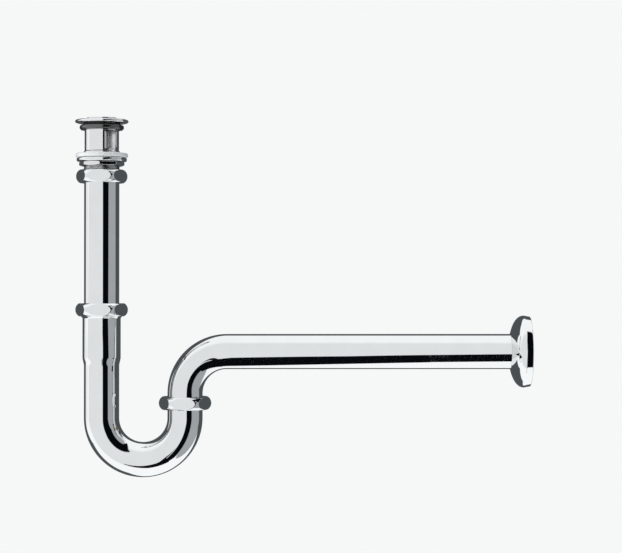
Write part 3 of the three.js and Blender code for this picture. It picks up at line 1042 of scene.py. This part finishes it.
def studio():
    """The room that the chrome reflects, by direction, with a plain pale backdrop for the camera.

    lean is how far a direction points to +X, and pitch how far it is turned up from the front
    round the X axis: 0 ahead of the object, 90 overhead, -90 below and 180 behind.
    """
    world = bpy.data.worlds.new("studio")
    bpy.context.scene.world = world
    world.use_nodes = True
    tree = world.node_tree
    tree.nodes.clear()
    nodes = Nodes(tree)
    direction = nodes.add("ShaderNodeTexCoord").outputs["Generated"]
    split = nodes.add("ShaderNodeSeparateXYZ")
    nodes.feed(split.inputs[0], direction)
    x, y, z = split.outputs
    degrees = 180 / math.pi
    lean = nodes.math("MULTIPLY", nodes.math("ARCSINE", x), degrees)
    forward = nodes.math("MULTIPLY", y, -1.0)
    pitch = nodes.math("MULTIPLY", nodes.math("ARCTAN2", z, forward), degrees)

    def above(value, edge, soft=2.0):
        lowered = nodes.math("SUBTRACT", value, edge)
        return nodes.math("ADD", nodes.math("DIVIDE", lowered, soft), 0.5, clamp=True)

    def below(value, edge, soft=2.0):
        return nodes.math("SUBTRACT", 1.0, above(value, edge, soft))

    def both(first, second):
        return nodes.math("MINIMUM", first, second)

    def either(first, second):
        return nodes.math("MAXIMUM", first, second)

    def edge(points):
        """A lean that follows straight lines between [pitch, lean] points."""
        node = nodes.add("ShaderNodeFloatCurve")
        nodes.feed(node.inputs["Value"], nodes.math("ADD", nodes.math("DIVIDE", pitch, 360.0), 0.5))
        curve = node.mapping.curves[0]
        curve.points[0].location = (0, points[0][1] / 180 + 0.5)
        curve.points[1].location = (1, points[-1][1] / 180 + 0.5)
        for at_pitch, at_lean in points:
            if abs(at_pitch) < 180:
                curve.points.new(at_pitch / 360 + 0.5, at_lean / 180 + 0.5)
        for point in curve.points:
            point.handle_type = "VECTOR"
        node.mapping.update()
        centred = nodes.math("SUBTRACT", node.outputs["Value"], 0.5)
        return nodes.math("MULTIPLY", centred, 180.0)

    def tilted(level, slope, limit):
        """How far behind the dark end of the room starts: nearer to overhead on the left."""
        beyond = nodes.math("MINIMUM", nodes.math("ADD", lean, 3.0), 0.0)
        pitched = nodes.math("ADD", nodes.math("MULTIPLY", beyond, slope), level)
        return nodes.math("MAXIMUM", pitched, limit)

    # Each layer covers the ones before it.
    colour = SHEET
    colour = nodes.mix(both(above(pitch, 60, 16), below(lean, 80)), colour, BRIGHT)
    colour = nodes.mix(both(below(pitch, -53, 4), below(lean, 80)), colour, UNDER)
    away = nodes.math("ABSOLUTE", pitch)
    colour = nodes.mix(above(away, 155, 10), colour, REAR)
    colour = nodes.mix(above(lean, edge(SIDE_EDGE)), colour, SIDE)
    overhead = both(above(pitch, 0), above(away, tilted(131, 0.6, 115)))
    underneath = both(below(pitch, 0), above(away, tilted(138, 1.8, 113)))
    behind = either(overhead, underneath)
    between_walls = both(above(lean, -60), below(lean, 71))
    colour = nodes.mix(both(behind, between_walls), colour, BACK)
    across = both(above(lean, edge(FLAG_LEFT)), below(lean, edge(FLAG_RIGHT)))
    upright = both(above(pitch, FLAG_LOW), below(pitch, FLAG_HIGH))
    colour = nodes.mix(both(across, upright), colour, FLAG)

    ray = nodes.add("ShaderNodeLightPath")
    emit = nodes.add("ShaderNodeBackground")
    nodes.feed(emit.inputs["Color"], nodes.mix(ray.outputs["Is Camera Ray"], colour, PALE))
    boost = nodes.math("MULTIPLY", ray.outputs["Is Diffuse Ray"], DIFFUSE_BOOST - 1)
    nodes.feed(emit.inputs["Strength"], nodes.math("ADD", boost, 1.0))
    output = nodes.add("ShaderNodeOutputWorld")
    tree.links.new(emit.outputs["Background"], output.inputs["Surface"])


def stage_sheet(name, corners, z, colour):
    """A flat sheet in the studio that gives off its own colour and casts no shadow."""
    vertices = [Vector((x, y, z)) * MM for x, y in corners]
    mesh = bpy.data.meshes.new(name)
    mesh.from_pydata(vertices, [], [tuple(range(len(corners)))])
    obj = bpy.data.objects.new(name, mesh)
    bpy.context.scene.collection.objects.link(obj)
    material = bpy.data.materials.new(name)
    material.use_nodes = True
    tree = material.node_tree
    tree.nodes.clear()
    nodes = Nodes(tree)
    glow = nodes.add("ShaderNodeEmission")
    glow.inputs["Color"].default_value = colour
    output = nodes.add("ShaderNodeOutputMaterial")
    tree.links.new(glow.outputs[0], output.inputs["Surface"])
    mesh.materials.append(material)
    obj.visible_diffuse = False
    obj.visible_shadow = False
    return obj


def card(name, corners, z, colour=FLAG):
    """A flat card that only shows in the chrome. A black one draws a dark line along a tube."""
    stage_sheet(name, corners, z, colour).visible_camera = False


def pipe_cards():
    """The dark line under the long pipe: a card close below it, and one far below for its right end."""
    front = [
        (98, -34), (103, -40), (107, -38), (111, -33), (118, -38), (181, -47), (228, -52), (300, -72),
    ]
    back = [(300, -17), (145, -7), (118, -5.5), (111, -5), (105, -12.5), (98, -19)]
    near_drop = 24.0
    card("pipe_card", front + back, PIPE_Z - near_drop)
    far_left = [(452, -820), (480, -2000), (560, -4000), (769, -7300)]
    far_right = [(1600, -10600), (930, -4000), (768, -2000), (728, -1240)]
    far_drop = 2800.0
    card("far_card", far_left + far_right, PIPE_Z - far_drop)


def bend_cards():
    """The dark line under the trap's bend, and a scrap of light table that hides the far card there."""
    low = box("trap_bend")[0].z
    front = [(12, -34), (25, -35), (38, -37.7), (54, -44.5), (63, -54), (75, -58)]
    back = [(72, -26.5), (52, -25), (44, -24.6), (31, -27), (13, -31.5)]
    card("bend_card", front + back, low - 5.3)
    card("bend_table", [(50, -34), (68, -34), (68, -14), (50, -14)], low - 8, UNDER)


def floor():
    """A plain pale floor that matches the backdrop."""
    height = box("trap_bend")[0].z - 60.0
    size = 6000.0
    corners = [(-size, -size), (size, -size), (size, size), (-size, size)]
    sheet = stage_sheet("floor", corners, height, PALE)
    sheet.visible_glossy = False


def camera():
    """A long lens, level with the lower half of the tailpiece."""
    data = bpy.data.cameras.new("camera")
    obj = bpy.data.objects.new("camera", data)
    bpy.context.scene.collection.objects.link(obj)
    bpy.context.scene.camera = obj
    data.sensor_width = 36.0
    data.lens = 110.0
    data.clip_start = 0.1
    data.clip_end = 20.0
    eye = Vector((191.1, -1735.0, -150.7))
    obj.location = eye * MM
    pitch_up = math.radians(0.56)
    obj.rotation_euler = (math.pi / 2 + pitch_up, 0, 0)


studio()
floor()
pipe_cards()
bend_cards()
camera()
bpy.context.scene.view_settings.view_transform = "Standard"
